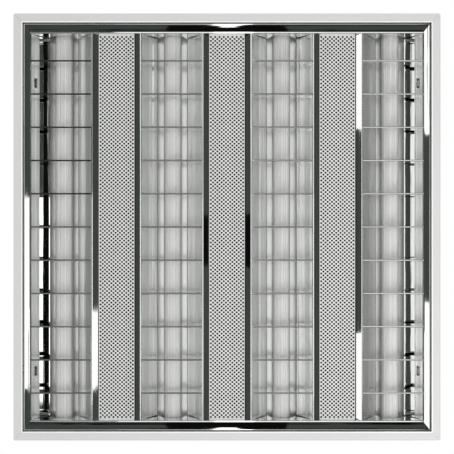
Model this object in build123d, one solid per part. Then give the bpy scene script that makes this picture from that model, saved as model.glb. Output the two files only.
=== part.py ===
from build123d import *
import math
import os

# Recessed ceiling luminaire, millimetres, +Z up, louver facing down.
# The origin is the middle of the rim's underside, which lies on the ceiling grid.
# X runs across the lamps, Y runs along them; front is -Y and rear is +Y.

# Housing and rim
rim_width = 13.0
rim_hem_height = 1.5
rim_corner = 2.0
wall_inset = 2.0
steel = 0.6
bead_width = 12.0
bead_height = 1.8
bead_draft = 30.0
bead_inset = 72.4
suspension_spacing = 400.0
suspension_hole = 7.0
cable_hole = 21.0
cable_entry_y = 75.0

# Louver
aluminium = 0.5
louver_gap = 2.0
louver_edge_z = 0.8
louver_lip = 3.2
side_bevel = 8.5
end_bevel = 10.8
fold_width = 1.5
cell_plane = 7.0
lamp_count = 4
column_half = 44.4
wall_height = 40.0
reflector_height = 30.7
shoulder_width = 12.5
shoulder_height = 12.2
reflector_sagitta = 0.31
lip_sagitta = 0.6
strip_width = 7.6
strip_rise = 6.0
ledge_width = 2.0
panel_overlap = 1.0
panel_thickness = 0.5
backing_thickness = 0.3
backing_inset = 1.0
wall_lean = 5.6
arch_gap = 6.0
arch_drop = 5.1
joint_gap = 0.1
blade_count = 11
end_cell = 42.05
blade_height = 18.0
blade_top_half = 2.7
blade_sheet = 0.4

# Hinge hooks on the left, spring catches on the right
slot_inset = 73.2
slot_length = 14.0
slot_above = 1.4
slot_below = 4.7
slot_reach = 4.0
hinge_height = 13.0
hook_wire = 2.0
hook_half = 5.0
hook_angle = 40.0
plate_length = 26.0
plate_height = 12.0
plate_thickness = 1.2
catch_width = 9.0
catch_thickness = 2.0
catch_reach = 1.8
catch_travel = 5.0
catch_end_gap = 0.95
guide_wall = 1.2
guide_length = 18.0
slide_gap = 0.15
rivet_hole = 3.2
rivet_gap = 0.05
rivet_head = 6.0
rivet_tail = 4.8
rivet_head_height = 1.0

# Lamps
tube_diameter = 26.0
tube_wall = 1.0
tube_length = 589.0
tube_drop = 3.5
lamp_side_gap = 9.0
cap_length = 12.0
cap_plug = 6.0
cap_round = 1.0
plug_gap = 0.1
pin_diameter = 2.35
pin_spacing = 12.7
pin_length = 7.0
pin_round = 0.5
board_width = 10.0
board_thickness = 1.0
board_gap = 0.2
driver_width = 15.0
driver_length = 60.0
driver_drop = 3.0
driver_leg_width = 5.0
driver_leg_length = 6.0
driver_leg_inset = 12.0

# Lampholders
holder_gap = 0.4
holder_margin = 1.0
holder_wall = 2.7
holder_wall_gap = 1.9
rotor_rim = 0.975
rotor_floor = 0.7
rotor_gap = 0.2
pin_slot_gap = 0.125
entry_gap = 0.3
boss_x = 12.0
boss_y = 6.0
boss_height = 4.0
boss_gap = 0.2

# Gear tray and wiring
tray_gap = 3.5
tray_end_gap = 0.8
gear_height = 22.4
foot_width = 12.0
foot_gap = 3.4
screw_diameter = 4.0
screw_head = 8.0
screw_head_height = 2.2
screw_head_round = 1.0
screw_cross_length = 4.0
screw_cross_width = 1.0
screw_cross_depth = 1.0
screw_gap = 0.1
screw_length = 8.0
screw_inset = 46.6
wire_diameter = 2.4
wire_rise = 8.0
wire_bend = 6.0
wire_pair = 2.6
lead_height = 7.4
lead_bend = 24.0
lead_reach = 60.0
terminal_length = 36.0
terminal_depth = 18.0
terminal_height = 14.0
terminal_pitch = 11.0
terminal_wire_gap = 0.3
terminal_screw = 4.0
terminal_screw_gap = 0.1
terminal_screw_seat = 0.4
terminal_screw_recess = 1.0
terminal_slot = 0.8
earth_offset = 27.0
earth_loop = 22.0
earth_end_gap = 0.2
washer_diameter = 8.8
washer_height = 1.0
nut_corners = 8.0
nut_height = 3.2
stud_diameter = 4.0
stud_height = 12.0
stud_head = 8.0
stud_head_height = 2.0
grommet_bore = 10.0
grommet_flange = 28.0
grommet_lip = 2.5
grommet_gap = 0.05
clip_width = 7.0
clip_length = 8.0
clip_wall = 1.6
clip_reach = 25.0

# How far a cutting tool runs past the face that it leaves
cut_over = 1.0

# Places along the lamps, from the tube's end out to the rim
tube_end = tube_length / 2
tube_radius = tube_diameter / 2
holder_face = tube_end + holder_gap
rotor_start = holder_face + rotor_gap
pin_slot_end = tube_end + pin_length + rotor_gap
rotor_end = pin_slot_end + rotor_floor
pocket_floor = rotor_end + 2 * rotor_gap
holder_back = pocket_floor + holder_wall
holder_middle = (holder_face + holder_back) / 2
wall_inner = holder_back + holder_wall_gap
wall_outer = wall_inner + steel
rim_half = wall_outer + wall_inset
rim_inner = rim_half - rim_width
tray_end = wall_inner - tray_end_gap
tray_half = wall_inner - foot_width - foot_gap

# Places of the louver's folds and of the lamps between them
louver_half = rim_inner - louver_gap
fold_x = louver_half - side_bevel
fold_y = louver_half - end_bevel
slot_y = fold_y - slot_inset
lamp_pitch = 2 * (fold_x - column_half) / (lamp_count - 1)
columns = [(n - (lamp_count - 1) / 2) * lamp_pitch for n in range(lamp_count)]
blade_pitch = 2 * (fold_y - end_cell) / (blade_count - 1)
lamp_gap_half = tube_radius + lamp_side_gap
shoulder_u = lamp_gap_half + shoulder_width
rotor_radius = (pin_spacing + pin_diameter) / 2 + rotor_rim
holder_half = tube_radius + holder_margin

# Heights, from the louver up to the back
wall_top = cell_plane + wall_height
lip_z = cell_plane + reflector_height
shoulder_z = lip_z - shoulder_height
panel_z = cell_plane + strip_rise + aluminium
hinge_z = cell_plane + hinge_height
tube_z = wall_top - tube_drop
tray_z = tube_z + tube_radius + tray_gap
tray_top = tray_z + steel
lead_z = tray_top + lead_height
back_height = tray_top + gear_height
back_top = back_height + steel
wall_top_y = fold_y - wall_lean
earth_x = terminal_length / 2 + earth_offset
cable_entry_x = lamp_pitch / 2


def box(x0, x1, y0, y1, z0, z1):
    # Block between two corners.
    return Pos((x0 + x1) / 2, (y0 + y1) / 2, (z0 + z1) / 2) * Box(x1 - x0, y1 - y0, z1 - z0)


def rod(radius, start, end):
    # Round bar between two points.
    start, end = Vector(*start), Vector(*end)
    axis = end - start
    return Solid.make_cylinder(radius, axis.length, Plane(origin=start, z_dir=axis))


def prism_y(face, y0, y1):
    # Section drawn in (x, z), carried from y0 to y1.
    return extrude(Plane(origin=(0, y0, 0), x_dir=(1, 0, 0), z_dir=(0, -1, 0)) * face, -(y1 - y0))


def prism_x(face, x0, x1):
    # Section drawn in (y, z), carried from x0 to x1.
    return extrude(Plane(origin=(x0, 0, 0), x_dir=(0, 1, 0), z_dir=(1, 0, 0)) * face, x1 - x0)


def sheet(edges, thickness):
    # Face of a folded sheet: its visible line, thickened to the line's left.
    line = Wire(edges)
    return make_face(line.offset_2d(thickness, Kind.ARC, Side.LEFT).edges())


def polygon(*points):
    return make_face(Polyline(*points, close=True))


def save(name, *shapes):
    solids = []
    for shape in shapes:
        solids += list(shape.solids())
    node = solids[0] if len(solids) == 1 else Compound(children=solids)
    node.label = name
    export_step(node, f"parts/{name}.step")


def grid(xs, ys):
    return [(x, y) for x in xs for y in ys]


def both_ends(shape):
    return [shape, mirror(shape, about=Plane.XZ)]


def sheet_holes(places, diameter, height):
    # Round cutters through one sheet of steel.
    return [Pos(x, y, height) * Cylinder(diameter / 2, 4 * steel) for x, y in places]


def suspension_places():
    half = suspension_spacing / 2
    return grid((-half, half), (-half, half))


def screw_places():
    x = tray_half + foot_width / 2
    y = tray_end - screw_inset
    return grid((-x, x), (-y, 0, y))


# Housing: a back sheet, four walls welded to it and a mitred rim

def housing_back():
    # Sheet with pressed beads over the spaces between the lamps.
    back = box(-wall_outer, wall_outer, -wall_outer, wall_outer, back_height, back_top)
    for x in (-lamp_pitch, 0, lamp_pitch):
        bead = SlotOverall(2 * (wall_inner - bead_inset), bead_width, rotation=90)
        back += Pos(x, 0, back_top) * extrude(bead, bead_height, taper=bead_draft)
    holes = sheet_holes(suspension_places(), suspension_hole, back_height)
    holes += sheet_holes(screw_places(), screw_diameter + 2 * screw_gap, back_height)
    holes += sheet_holes([(cable_entry_x, cable_entry_y)], cable_hole, back_height)
    for hole in holes:
        back -= hole
    return back


def housing_walls():
    # Side walls with the rivet holes of the hooks and catches, and end walls between them.
    side = box(wall_inner, wall_outer, -wall_outer, wall_outer, steel, back_height)
    for row in rivet_rows():
        side -= rod(rivet_hole / 2, (wall_inner - cut_over, row, plate_z()),
                    (wall_outer + cut_over, row, plate_z()))
    end = box(-wall_inner, wall_inner, wall_inner, wall_outer, steel, back_height)
    return [side, mirror(side, about=Plane.YZ)] + both_ends(end)


def rim_frame():
    # Four strips mitred at the corners, each with a hem round the opening.
    hem = rim_inner + steel
    flat = polygon((rim_inner, -rim_inner), (rim_half, -rim_half),
                   (rim_half, rim_half), (rim_inner, rim_inner))
    edge = polygon((rim_inner, -rim_inner), (hem, -hem), (hem, hem), (rim_inner, rim_inner))
    strip = extrude(flat, steel) + extrude(edge, rim_hem_height)
    strip &= extrude(RectangleRounded(2 * rim_half, 2 * rim_half, rim_corner), rim_hem_height)
    return [Rot(0, 0, turn) * strip for turn in (0, 90, 180, 270)]


# Louver: the reflector is a steep concave face from the fold to the shoulder, then a flatter concave lip.
# Both are set so that a line of sight from below meets the lamp.

def reflector_face_at(z):
    # Distance of the steep face from its lamp's centre line at height z.
    low = Vector(column_half, cell_plane)
    high = Vector(shoulder_u, shoulder_z)
    chord = high - low
    half = chord.length / 2
    radius = (half ** 2 + reflector_sagitta ** 2) / (2 * reflector_sagitta)
    inward = Vector(-chord.Y, chord.X).normalized()
    centre = (low + high) / 2 + inward * (radius - reflector_sagitta)
    return centre.X + math.sqrt(radius ** 2 - (z - centre.Y) ** 2)


def reflector_edges():
    # From the top of the lip down to the fold.
    shoulder = (shoulder_u, shoulder_z)
    return [SagittaArc((lamp_gap_half, lip_z), shoulder, lip_sagitta),
            SagittaArc(shoulder, (column_half, cell_plane), reflector_sagitta)]


def inner_section():
    # Reflector, flat fold, mirror strip and the ledge that a panel rests on.
    fold_end = (column_half + fold_width, cell_plane)
    strip_end = (column_half + fold_width + strip_width, cell_plane + strip_rise)
    ledge_end = (strip_end[0] + ledge_width, strip_end[1])
    edges = reflector_edges()
    edges += [Line((column_half, cell_plane), fold_end), Line(fold_end, strip_end),
              Line(strip_end, ledge_end)]
    return sheet(edges, aluminium)


def outer_section():
    # Reflector, mirror bevel down to the rim and a short stiffening lip.
    edge = (column_half + side_bevel, louver_edge_z)
    edges = reflector_edges()
    edges += [Line((column_half, cell_plane), edge), Line(edge, (edge[0], edge[1] + louver_lip))]
    return sheet(edges, aluminium)


def end_section():
    # Leaning end wall, mirror bevel down to the rim and a short stiffening lip.
    fold = (fold_y, cell_plane)
    edge = (louver_half, louver_edge_z)
    lip = (louver_half, louver_edge_z + louver_lip)
    edges = [Line((wall_top_y, wall_top), fold), Line(fold, edge), Line(edge, lip)]
    return sheet(edges, aluminium)


def beyond_end_wall():
    # Space outside the end wall's inner face, less the joint gap, at the rear and inside the side folds.
    lean = wall_lean / wall_height
    low_y = fold_y - joint_gap + lean * cell_plane
    high_y = low_y - lean * 2 * wall_top
    far = 2 * rim_half
    section = polygon((low_y, 0), (far, 0), (far, 2 * wall_top), (high_y, 2 * wall_top))
    return prism_x(section, -fold_x, fold_x)


def corner_line(gap):
    # Mitre of the bevels in plan: the fold corner moved along X by a gap, and a point far out on the line.
    slope = (louver_half - fold_x) / (louver_half - fold_y)
    far = 2 * rim_half
    return (fold_x + gap, fold_y), (fold_x + gap + slope * far, fold_y + far)


def inner_profile():
    profile = prism_y(inner_section(), -fold_y, fold_y)
    for cut in both_ends(beyond_end_wall()):
        profile -= cut
    return profile


def outer_profile():
    # Drawn in place on the right; its slots take the spring catches or the hinge hooks.
    profile = Pos(columns[-1], 0, 0) * prism_y(outer_section(), -louver_half, louver_half)
    near, far = corner_line(joint_gap)
    bevel_cut = extrude(polygon(near, far, (fold_x, far[1]), (fold_x, fold_y)), wall_top)
    for cut in both_ends(beyond_end_wall()) + both_ends(bevel_cut):
        profile -= cut
    for y in (-slot_y, slot_y):
        profile -= box(hinge_x() - slot_reach, hinge_x() + slot_reach,
                       y - slot_length / 2, y + slot_length / 2, hinge_z - slot_below, hinge_z + slot_above)
    return profile


def hinge_x():
    # Middle of the outer reflector's sheet at the hinge height, on the right.
    return columns[-1] + reflector_face_at(hinge_z) + aluminium / 2


def end_reflector():
    # Drawn at the rear; each lamp passes through an arch that is open at the top.
    wall = prism_x(end_section(), -louver_half, louver_half)
    near, far = corner_line(-joint_gap)
    side = polygon((near[0], 0), near, far, (2 * far[0], far[1]), (2 * far[0], 0))
    cut = extrude(side, wall_top + cut_over)
    wall -= cut
    wall -= mirror(cut, about=Plane.YZ)
    radius = tube_radius + arch_gap
    arch_z = tube_z - arch_drop
    for x in columns:
        left, right = (x - radius, arch_z), (x + radius, arch_z)
        top_left = (x - lamp_gap_half, wall_top + aluminium)
        top_right = (x + lamp_gap_half, wall_top + aluminium)
        arch = [ThreePointArc(left, (x, arch_z - radius), right), Line(right, top_right),
                Line(top_right, top_left), Line(top_left, left)]
        wall -= prism_y(make_face(Wire(arch)), wall_top_y - wall_lean, fold_y + 2 * aluminium)
    return wall


def cross_blades(x):
    # Folded V blades between the two reflectors of one lamp.
    foot = fold_width / 2
    top = cell_plane + blade_height
    path = [Line((-blade_top_half, top), (-foot, cell_plane)),
            Line((-foot, cell_plane), (foot, cell_plane)), Line((foot, cell_plane), (blade_top_half, top))]
    strip = prism_x(sheet(path, blade_sheet), -column_half, column_half)
    fold = (column_half - joint_gap, cell_plane)
    shoulder = (shoulder_u - joint_gap, shoulder_z)
    half = make_face(Wire([Line((0, cell_plane), fold), SagittaArc(fold, shoulder, -reflector_sagitta),
                           Line(shoulder, (0, shoulder_z)), Line((0, shoulder_z), (0, cell_plane))]))
    reach = blade_top_half + cut_over
    channel = prism_y(half, -reach, reach)
    blade = strip & (channel + mirror(channel, about=Plane.YZ))
    first = -(blade_count - 1) / 2 * blade_pitch
    return [Pos(x, first + n * blade_pitch, 0) * blade for n in range(blade_count)]


def panel(x, inset, low, high):
    # Flat sheet between two lamps: the panel on the ledges, or the dark film on its back.
    half = lamp_pitch / 2 - column_half - fold_width - strip_width + panel_overlap - inset
    plate = box(x - half, x + half, -fold_y, fold_y, low, high)
    for cut in both_ends(beyond_end_wall()):
        plate -= cut
    return plate


# Hinge hooks and catches

def plate_z():
    # Height of the fixing plates on the side walls, where the hook's legs reach the wall.
    run = wall_inner - plate_thickness - hinge_x()
    return hinge_z + run * math.tan(math.radians(hook_angle))


def rivet_rows():
    offset = plate_length / 2 - rivet_head / 2
    return [slot_y * side + step for side in (-1, 1) for step in (-offset, offset)]


def wall_plate(y):
    # Fixing plate on the right wall with its two rivet holes.
    inside = wall_inner - plate_thickness
    plate = box(inside, wall_inner, y - plate_length / 2, y + plate_length / 2,
                plate_z() - plate_height / 2, plate_z() + plate_height / 2)
    for row in rivet_rows():
        plate -= rod(rivet_hole / 2, (inside - cut_over, row, plate_z()),
                     (wall_inner + cut_over, row, plate_z()))
    return plate


def hinge_hook(y):
    # Wire bail: a nose on the hinge line and two legs up to a plate on the wall.
    radius = hook_wire / 2
    ends = [(hinge_x(), y + step, hinge_z) for step in (-hook_half, hook_half)]
    hook = wall_plate(y) + rod(radius, *ends)
    for row in (y - hook_half, y + hook_half):
        hook += rod(radius, (hinge_x(), row, hinge_z), (wall_inner - plate_thickness / 2, row, plate_z()))
        hook += Pos(hinge_x(), row, hinge_z) * Sphere(radius)
    return mirror(hook, about=Plane.YZ)


def catch(y):
    # Spring bolt: its bevelled nose stands through the slot and carries the louver.
    tip = hinge_x() - catch_reach
    tail = wall_inner - plate_thickness - catch_travel - catch_end_gap
    low = hinge_z - catch_thickness / 2
    high = hinge_z + catch_thickness / 2
    bolt = box(tip, tail, y - catch_width / 2, y + catch_width / 2, low, high)
    edge = bolt.edges().filter_by(Axis.Y).sort_by(Axis.X)[0:2].sort_by(Axis.Z)[0]
    return chamfer(edge, catch_thickness / 2)


def catch_guide(y):
    # Square sleeve round the bolt, with two cheeks up to a fixing plate on the right wall.
    inner = catch_width / 2 + slide_gap
    depth = catch_thickness / 2 + slide_gap
    start = wall_inner - guide_length
    inside = wall_inner - plate_thickness
    sleeve = box(start, wall_inner, y - inner - guide_wall, y + inner + guide_wall,
                 hinge_z - depth - guide_wall, plate_z())
    sleeve -= box(start - cut_over, inside, y - inner, y + inner, hinge_z - depth, hinge_z + depth)
    sleeve -= box(start - cut_over, inside, y - inner, y + inner,
                  hinge_z + depth + guide_wall, plate_z() + cut_over)
    return wall_plate(y) + sleeve


def wall_rivets():
    rivets = []
    z = plate_z()
    inside = wall_inner - plate_thickness
    for y in rivet_rows():
        rivet = rod(rivet_hole / 2 - rivet_gap, (inside, y, z), (wall_outer, y, z))
        rivet += rod(rivet_head / 2, (wall_outer, y, z), (wall_outer + rivet_head_height, y, z))
        rivet += rod(rivet_tail / 2, (inside - rivet_head_height, y, z), (inside, y, z))
        rivets += [rivet, mirror(rivet, about=Plane.YZ)]
    return rivets


# Gear tray, lampholders and wiring

def gear_tray():
    # Bright plate over the lamps, hung from the back by two flanges with screwed feet.
    plate = box(-tray_half, tray_half, -tray_end, tray_end, tray_z, tray_top)
    flange = box(tray_half - steel, tray_half, -tray_end, tray_end, tray_z, back_height)
    flange += box(tray_half - steel, tray_half + foot_width, -tray_end, tray_end,
                  back_height - steel, back_height)
    plate = plate + flange + mirror(flange, about=Plane.YZ)
    for x, y in grid(columns, (-holder_middle, holder_middle)):
        plate -= Pos(x, y, tray_z) * Box(boss_x + 2 * boss_gap, boss_y + 2 * boss_gap, 4 * steel)
    for hole in sheet_holes(screw_places(), screw_diameter + 2 * screw_gap, back_height):
        plate -= hole
    for hole in sheet_holes([(earth_x, 0)], stud_diameter + 2 * screw_gap, tray_z):
        plate -= hole
    return plate


def tray_screws():
    screws = []
    for x, y in screw_places():
        head = Pos(x, y, back_top + screw_head_height / 2) * Cylinder(screw_head / 2, screw_head_height)
        head = fillet(head.edges().sort_by(Axis.Z)[-1], screw_head_round)
        bar = Box(screw_cross_length, screw_cross_width, 2 * screw_cross_depth)
        cross = Pos(x, y, back_top + screw_head_height) * (bar + Rot(0, 0, 90) * bar)
        shank = Pos(x, y, back_top - screw_length / 2) * Cylinder(screw_diameter / 2, screw_length)
        screws.append(head - cross + shank)
    return screws


def lampholder(x, side):
    # Rotary holder: round pocket for the rotor, entry slot below, boss through the gear tray.
    body = rod(holder_half, (x, holder_face, tube_z), (x, holder_back, tube_z))
    body += box(x - holder_half, x + holder_half, holder_face, holder_back, tube_z, tray_z)
    entry_half = pin_diameter / 2 + pin_slot_gap + entry_gap
    start = holder_face - cut_over
    body -= rod(rotor_radius + rotor_gap, (x, start, tube_z), (x, pocket_floor, tube_z))
    body -= box(x - entry_half, x + entry_half, start, pocket_floor, tube_z - holder_half - cut_over, tube_z)
    body += box(x - boss_x / 2, x + boss_x / 2, holder_middle - boss_y / 2, holder_middle + boss_y / 2,
                tray_z, tray_top + boss_height)
    return body if side > 0 else mirror(body, about=Plane.XZ)


def terminal_xs():
    return [-terminal_pitch, 0, terminal_pitch]


def terminal_screw_places():
    return grid(terminal_xs(), (-terminal_depth / 4, terminal_depth / 4))


def terminal_block():
    half, depth = terminal_length / 2, terminal_depth / 2
    top = tray_top + terminal_height
    block = box(-half, half, -depth, depth, tray_top, top)
    for x in terminal_xs():
        block -= rod(wire_diameter / 2 + terminal_wire_gap, (x, -depth - cut_over, lead_z),
                     (x, depth + cut_over, lead_z))
    for x, y in terminal_screw_places():
        block -= rod(terminal_screw / 2 + terminal_screw_gap, (x, y, lead_z), (x, y, top + cut_over))
    return block


def terminal_screws():
    low = lead_z + wire_diameter / 2 + terminal_screw_seat
    high = tray_top + terminal_height - terminal_screw_recess
    screws = []
    for x, y in terminal_screw_places():
        slot = Pos(x, y, high) * Box(terminal_screw, terminal_slot, 2 * terminal_slot)
        screws.append(rod(terminal_screw / 2, (x, y, low), (x, y, high)) - slot)
    return screws


def earth_terminal():
    # Stud through the gear tray with a head below, then a washer and a nut on top.
    foot = (earth_x, 0, tray_z)
    washer_top = tray_top + washer_height
    tip = (earth_x, 0, tray_top + stud_height)
    head = (earth_x, 0, tray_z - stud_head_height)
    stud = rod(stud_diameter / 2, foot, tip) + rod(stud_head / 2, head, foot)
    hole = rod(stud_diameter / 2 + screw_gap, foot, tip)
    washer = rod(washer_diameter / 2, (earth_x, 0, tray_top), (earth_x, 0, washer_top)) - hole
    nut = Pos(earth_x, 0, washer_top) * extrude(RegularPolygon(nut_corners / 2, 6), nut_height) - hole
    return [stud, washer, nut]


def grommet():
    # Rubber ring snapped into the cable hole, with a lip each side of the sheet.
    low, high = back_height - grommet_lip, back_top + grommet_lip

    def ring(radius, z0, z1):
        return rod(radius, (cable_entry_x, cable_entry_y, z0), (cable_entry_x, cable_entry_y, z1))

    body = ring(grommet_flange / 2, low, back_height) + ring(grommet_flange / 2, back_top, high)
    body += ring(cable_hole / 2 - grommet_gap, low, high)
    return body - ring(grommet_bore / 2, low - cut_over, high + cut_over)


def wire(points, bend):
    path = FilletPolyline(*points, radius=bend)
    section = Plane(origin=path @ 0, z_dir=path % 0) * Circle(wire_diameter / 2)
    return sweep(section, path)


def lamp_wires(side, terminal_x):
    # Lead from the terminal to the first lampholder, then one jumper from each holder to the next.
    y = side * holder_middle
    foot = tray_top + boss_height
    high = foot + wire_rise
    start = side * terminal_depth / 2
    turn = start + side * lead_reach
    offset = (wire_pair + wire_diameter) / 2
    first = columns[0] - offset
    wires = [wire([(terminal_x, start, lead_z), (terminal_x, turn, lead_z), (first, 2 * turn, lead_z),
                   (first, y, high), (first, y, foot)], [lead_bend, lead_bend, wire_bend])]
    for near, far in zip(columns[:-1], columns[1:]):
        left, right = near + offset, far - offset
        wires.append(wire([(left, y, foot), (left, y, high), (right, y, high), (right, y, foot)], wire_bend))
    return wires


def earth_wire():
    # From the middle terminal, out at the front and back to the washer of the earth stud.
    x, y = terminal_xs()[1], -terminal_depth / 2
    turn = y - earth_loop
    end = -washer_diameter / 2 - earth_end_gap
    out = [(x, y, lead_z), (x, turn, lead_z)]
    back = [(earth_x, turn, lead_z), (earth_x, end, lead_z)]
    return wire(out + back, wire_bend)


def wire_clips():
    # Saddles on the gear tray that hold the two leads.
    clips = []
    for side, x in ((-1, terminal_xs()[0]), (1, terminal_xs()[2])):
        y = side * (terminal_depth / 2 + clip_reach)
        top = lead_z + wire_diameter / 2 + clip_wall
        clip = box(x - clip_width / 2, x + clip_width / 2, y - clip_length / 2, y + clip_length / 2,
                   tray_top, top)
        clips.append(clip - rod(wire_diameter / 2 + slide_gap, (x, y - clip_length, lead_z),
                                (x, y + clip_length, lead_z)))
    return clips


# Lamps, drawn about their own axis and moved into place

def lamp(place, shape):
    return Pos(place, 0, tube_z) * shape


def along(radius, y0, y1):
    return rod(radius, (0, y0, 0), (0, y1, 0))


def tube_cover():
    half = tube_end - cap_length
    return along(tube_radius, -half, half) - along(tube_radius - tube_wall, -half - cut_over, half + cut_over)


def tube_caps():
    inner = tube_end - cap_length
    plug = tube_radius - tube_wall - plug_gap
    cap = along(tube_radius, inner, tube_end) + along(plug, inner - cap_plug, inner)
    rim = cap.edges().filter_by(GeomType.CIRCLE).sort_by(Axis.Y)[-1]
    return both_ends(fillet(rim, cap_round))


def tube_pins():
    pins = []
    for x in (-pin_spacing / 2, pin_spacing / 2):
        pin = rod(pin_diameter / 2, (x, tube_end, 0), (x, tube_end + pin_length, 0))
        tip = pin.edges().filter_by(GeomType.CIRCLE).sort_by(Axis.Y)[-1]
        pins += both_ends(fillet(tip, pin_round))
    return pins


def tube_boards():
    # Light board along the tube's upper inside and the driver board hung under it at one end.
    bore = tube_radius - tube_wall
    top = math.sqrt(bore ** 2 - (board_width / 2) ** 2) - board_gap
    half = tube_end - cap_length - cap_plug
    strip = box(-board_width / 2, board_width / 2, -half, half, top - board_thickness, top)
    low = top - board_thickness - driver_drop
    driver = box(-driver_width / 2, driver_width / 2, half - driver_length, half, low - board_thickness, low)
    for y in (half - driver_leg_inset, half - driver_length + driver_leg_inset):
        driver += box(-driver_leg_width / 2, driver_leg_width / 2, y - driver_leg_length / 2,
                      y + driver_leg_length / 2, low, top - board_thickness)
    return [strip, driver]


def tube_rotors():
    # Turning insert of each lampholder, slotted for the two pins.
    slot_half = pin_diameter / 2 + pin_slot_gap
    rotor = along(rotor_radius, rotor_start, rotor_end)
    rotor -= box(-2 * rotor_radius, 2 * rotor_radius, rotor_start - cut_over, pin_slot_end,
                 -slot_half, slot_half)
    return both_ends(rotor)


# Assembly

def save_housing():
    save("housing_back", housing_back())
    save("housing_walls", *housing_walls())
    save("rim_frame", *rim_frame())
    save("gear_tray", gear_tray())
    save("gear_tray_screws", *tray_screws())
    save("cable_grommet", grommet())
    save("terminal_block", terminal_block())
    save("terminal_screws", *terminal_screws())
    save("earth_terminal", *earth_terminal())
    save("live_wires", *lamp_wires(-1, terminal_xs()[0]))
    save("neutral_wires", *lamp_wires(1, terminal_xs()[2]))
    save("earth_wire", earth_wire())
    save("wire_clips", *wire_clips())
    save("hinge_hooks", *[hinge_hook(y) for y in (-slot_y, slot_y)])
    save("catch_guides", *[catch_guide(y) for y in (-slot_y, slot_y)])
    save("wall_rivets", *wall_rivets())
    save("catch_front", catch(-slot_y))
    save("catch_rear", catch(slot_y))


def save_louver():
    inner = inner_profile()
    outer = outer_profile()
    left_inner, left_outer = mirror(inner, about=Plane.YZ), mirror(outer, about=Plane.YZ)
    for n, x in enumerate(columns, 1):
        save(f"reflector_{n}_left", left_outer if n == 1 else Pos(x, 0, 0) * left_inner)
        save(f"reflector_{n}_right", outer if n == lamp_count else Pos(x, 0, 0) * inner)
        save(f"cross_blades_{n}", *cross_blades(x))
    front, rear = reversed(both_ends(end_reflector()))
    save("end_reflector_front", front)
    save("end_reflector_rear", rear)
    middles = [(near + far) / 2 for near, far in zip(columns[:-1], columns[1:])]
    panel_back = panel_z + panel_thickness
    for n, x in enumerate(middles, 1):
        save(f"perforated_panel_{n}", panel(x, 0, panel_z, panel_back))
    backing_top = panel_back + backing_thickness
    save("panel_backings", *[panel(x, backing_inset, panel_back, backing_top) for x in middles])


def save_lamps():
    for n, x in enumerate(columns, 1):
        save(f"lampholders_{n}", lampholder(x, -1), lampholder(x, 1))
        save(f"tube_{n}_cover", lamp(x, tube_cover()))
        save(f"tube_{n}_caps", *[lamp(x, cap) for cap in tube_caps()])
        save(f"tube_{n}_pins", *[lamp(x, pin) for pin in tube_pins()])
        save(f"tube_{n}_boards", *[lamp(x, board) for board in tube_boards()])
        save(f"tube_{n}_rotors", *[lamp(x, rotor) for rotor in tube_rotors()])


def main():
    os.makedirs("parts", exist_ok=True)
    save_housing()
    save_louver()
    save_lamps()


if __name__ == "__main__":
    main()
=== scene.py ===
import bpy
import bmesh
import math
import numpy as np
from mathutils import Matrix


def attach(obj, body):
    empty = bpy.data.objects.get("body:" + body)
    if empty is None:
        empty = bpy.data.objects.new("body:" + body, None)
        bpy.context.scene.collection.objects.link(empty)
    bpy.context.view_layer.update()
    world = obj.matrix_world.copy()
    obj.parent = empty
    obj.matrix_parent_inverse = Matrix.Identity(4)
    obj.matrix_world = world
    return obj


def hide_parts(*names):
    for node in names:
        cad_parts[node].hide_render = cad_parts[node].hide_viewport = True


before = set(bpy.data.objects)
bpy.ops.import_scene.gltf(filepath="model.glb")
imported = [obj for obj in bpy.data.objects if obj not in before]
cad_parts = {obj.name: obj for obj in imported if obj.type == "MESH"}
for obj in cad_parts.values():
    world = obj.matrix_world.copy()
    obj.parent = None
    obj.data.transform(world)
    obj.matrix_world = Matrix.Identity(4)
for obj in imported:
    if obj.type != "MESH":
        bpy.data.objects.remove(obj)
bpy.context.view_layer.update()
scene = bpy.context.scene
scene.view_settings.view_transform = "Standard"
mm = 0.001  # shapes below are worked out in millimetres

cameraSet = dict(distance=1.7, frameWidth=0.6589, sensor=36.0)  # frameWidth: what the image covers at the rim


def makeCamera(s):
    data = bpy.data.cameras.new("photoCamera")
    data.sensor_width = s["sensor"]
    data.lens = s["sensor"] * s["distance"] / s["frameWidth"]
    data.clip_end = 60
    camera = bpy.data.objects.new("photoCamera", data)
    camera.location = (0, 0, -s["distance"])  # straight below, looking up
    camera.rotation_euler = (math.pi, 0, 0)
    scene.collection.objects.link(camera)
    scene.camera = camera


makeCamera(cameraSet)
print("camera ready")


# node groups, each built once and placed in the materials with its own values

def newGroup(name, inputs, outputs):
    group = bpy.data.node_groups.new(name, "ShaderNodeTree")
    for label, kind, value in inputs:
        socket = group.interface.new_socket(label, in_out="INPUT", socket_type=kind)
        if value is not None:
            socket.default_value = value
    for label in outputs:
        group.interface.new_socket(label, in_out="OUTPUT", socket_type="NodeSocketFloat")
    return group, group.nodes.new("NodeGroupInput"), group.nodes.new("NodeGroupOutput")


def scaledNoise(group, source, scale, size, detail):
    # noise on a stretched copy of the incoming vector
    mapping = group.nodes.new("ShaderNodeMapping")
    mapping.inputs["Scale"].default_value = scale
    noise = group.nodes.new("ShaderNodeTexNoise")
    noise.inputs["Scale"].default_value = size
    noise.inputs["Detail"].default_value = detail
    group.links.new(source, mapping.inputs["Vector"])
    group.links.new(mapping.outputs["Vector"], noise.inputs["Vector"])
    return noise.outputs["Fac"]


def weighed(group, first, second, share):
    # first times share plus second times the rest
    mix = group.nodes.new("ShaderNodeMix")
    mix.inputs["Factor"].default_value = 1 - share
    group.links.new(first, mix.inputs["A"])
    group.links.new(second, mix.inputs["B"])
    return mix.outputs["Result"]


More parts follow.
